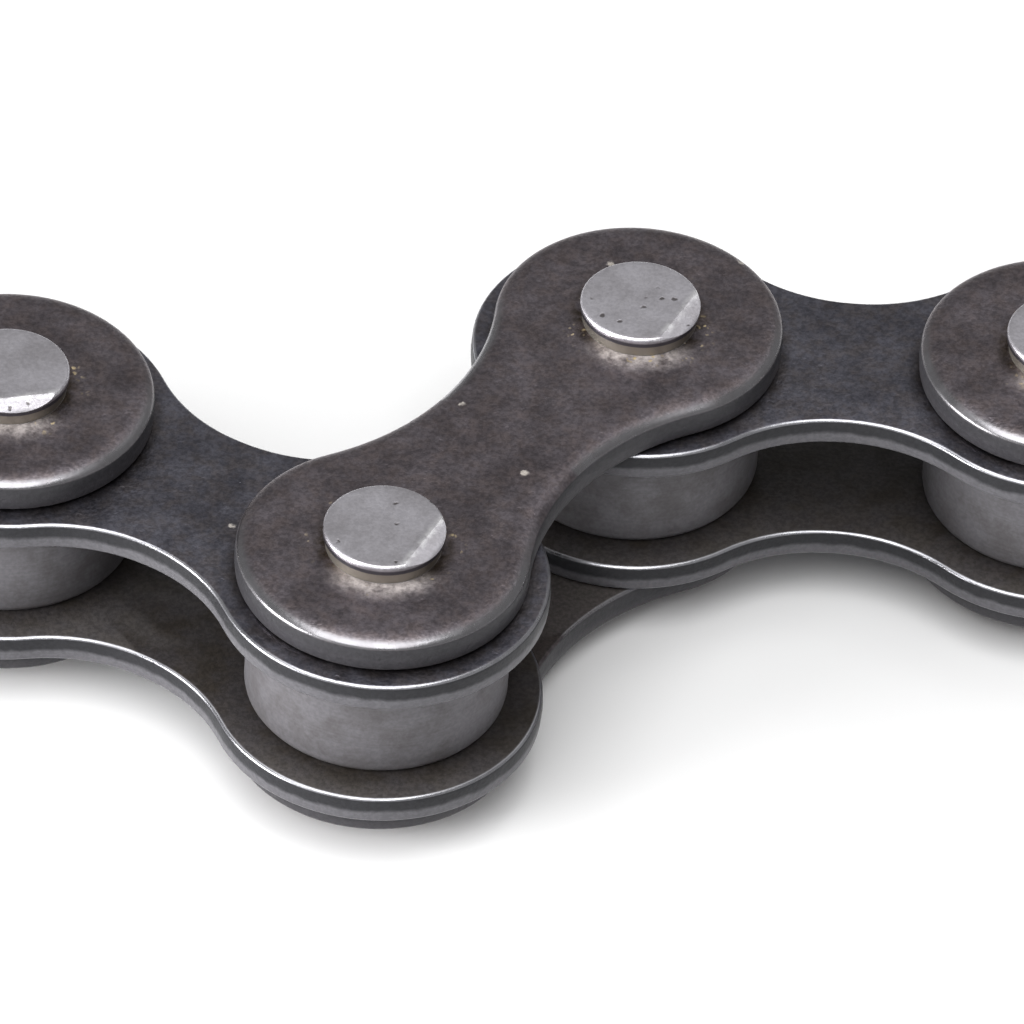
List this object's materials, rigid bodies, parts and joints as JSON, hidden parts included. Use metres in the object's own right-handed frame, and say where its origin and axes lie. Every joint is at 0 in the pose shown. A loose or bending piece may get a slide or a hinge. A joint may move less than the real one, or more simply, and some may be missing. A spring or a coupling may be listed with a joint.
{
  "type": "bicycle chain",
  "caption": "Section of a bicycle roller chain: waisted inner and outer link plates, riveted pins, bushes and rollers, with hinged links and spinning rollers.",
  "frame": {"origin": "centre of the free bush at the left end, on the chain's mid-plane", "axes": "+X along the run of the chain from left to right, +Y away from the viewer, +Z along the pins"},
  "size_m": [0.0913, 0.0222, 0.009],
  "materials": {
    "outer_plate_steel": "oiled brown",
    "inner_plate_steel": "oiled blue",
    "pin_steel": "satin",
    "bush_steel": "satin",
    "roller_steel": "satin"
  },
  "bodies": {
    "inner_link_1": {"inner_plate_1_upper": "inner_plate_steel", "inner_plate_1_lower": "inner_plate_steel", "bush_1_left": "bush_steel", "bush_1_right": "bush_steel"},
    "inner_link_3": {"inner_plate_3_upper": "inner_plate_steel", "inner_plate_3_lower": "inner_plate_steel", "bush_3_left": "bush_steel", "bush_3_right": "bush_steel"},
    "inner_link_5": {"inner_plate_5_upper": "inner_plate_steel", "inner_plate_5_lower": "inner_plate_steel", "bush_5_left": "bush_steel", "bush_5_right": "bush_steel"},
    "inner_link_7": {"inner_plate_7_upper": "inner_plate_steel", "inner_plate_7_lower": "inner_plate_steel", "bush_7_left": "bush_steel", "bush_7_right": "bush_steel"},
    "outer_link_2": {"outer_plate_2_upper": "outer_plate_steel", "outer_plate_2_lower": "outer_plate_steel", "pin_2_left": "pin_steel", "pin_2_right": "pin_steel"},
    "outer_link_4": {"outer_plate_4_upper": "outer_plate_steel", "outer_plate_4_lower": "outer_plate_steel", "pin_4_left": "pin_steel", "pin_4_right": "pin_steel"},
    "outer_link_6": {"outer_plate_6_upper": "outer_plate_steel", "outer_plate_6_lower": "outer_plate_steel", "pin_6_left": "pin_steel", "pin_6_right": "pin_steel"},
    "roller_1_left": {"roller_1_left": "roller_steel"},
    "roller_1_right": {"roller_1_right": "roller_steel"},
    "roller_3_left": {"roller_3_left": "roller_steel"},
    "roller_3_right": {"roller_3_right": "roller_steel"},
    "roller_5_left": {"roller_5_left": "roller_steel"},
    "roller_5_right": {"roller_5_right": "roller_steel"},
    "roller_7_left": {"roller_7_left": "roller_steel"},
    "roller_7_right": {"roller_7_right": "roller_steel"}
  },
  "joints": [
    {"name": "pivot_1", "type": "hinge", "parent": "outer_link_2", "child": "inner_link_1", "pos_m": [0.01258, -0.00177, 0], "axis": [0, 0, 1], "range_deg": [-56, 84]},
    {"name": "pivot_2", "type": "hinge", "parent": "inner_link_3", "child": "outer_link_2", "pos_m": [0.02521, -0.00044, 0], "axis": [0, 0, 1], "range_deg": [-103.5, 36.5]},
    {"name": "pivot_3", "type": "hinge", "parent": "outer_link_4", "child": "inner_link_3", "pos_m": [0.03647, -0.0063, 0], "axis": [0, 0, 1], "range_deg": [-7, 153]},
    {"name": "pivot_4", "type": "hinge", "parent": "outer_link_4", "child": "inner_link_5", "pos_m": [0.04367, 0.00416, 0], "axis": [0, 0, 1], "range_deg": [-13, 127]},
    {"name": "pivot_5", "type": "hinge", "parent": "inner_link_5", "child": "outer_link_6", "pos_m": [0.05636, 0.00383, 0], "axis": [0, 0, 1], "range_deg": [-81.5, 58.5]},
    {"name": "pivot_6", "type": "hinge", "parent": "outer_link_6", "child": "inner_link_7", "pos_m": [0.06887, 0.00604, 0], "axis": [0, 0, 1], "range_deg": [-54, 86]},
    {"name": "roller_1_left_spin", "type": "hinge", "parent": "inner_link_1", "child": "roller_1_left", "pos_m": [0, 0, 0], "axis": [0, 0, 1], "continuous": true},
    {"name": "roller_1_right_spin", "type": "hinge", "parent": "inner_link_1", "child": "roller_1_right", "pos_m": [0.01258, -0.00177, 0], "axis": [0, 0, 1], "continuous": true},
    {"name": "roller_3_left_spin", "type": "hinge", "parent": "inner_link_3", "child": "roller_3_left", "pos_m": [0.02521, -0.00044, 0], "axis": [0, 0, 1], "continuous": true},
    {"name": "roller_3_right_spin", "type": "hinge", "parent": "inner_link_3", "child": "roller_3_right", "pos_m": [0.03647, -0.0063, 0], "axis": [0, 0, 1], "continuous": true},
    {"name": "roller_5_left_spin", "type": "hinge", "parent": "inner_link_5", "child": "roller_5_left", "pos_m": [0.04367, 0.00416, 0], "axis": [0, 0, 1], "continuous": true},
    {"name": "roller_5_right_spin", "type": "hinge", "parent": "inner_link_5", "child": "roller_5_right", "pos_m": [0.05636, 0.00383, 0], "axis": [0, 0, 1], "continuous": true},
    {"name": "roller_7_left_spin", "type": "hinge", "parent": "inner_link_7", "child": "roller_7_left", "pos_m": [0.06887, 0.00604, 0], "axis": [0, 0, 1], "continuous": true},
    {"name": "roller_7_right_spin", "type": "hinge", "parent": "inner_link_7", "child": "roller_7_right", "pos_m": [0.0815, 0.00471, 0], "axis": [0, 0, 1], "continuous": true}
  ]
}
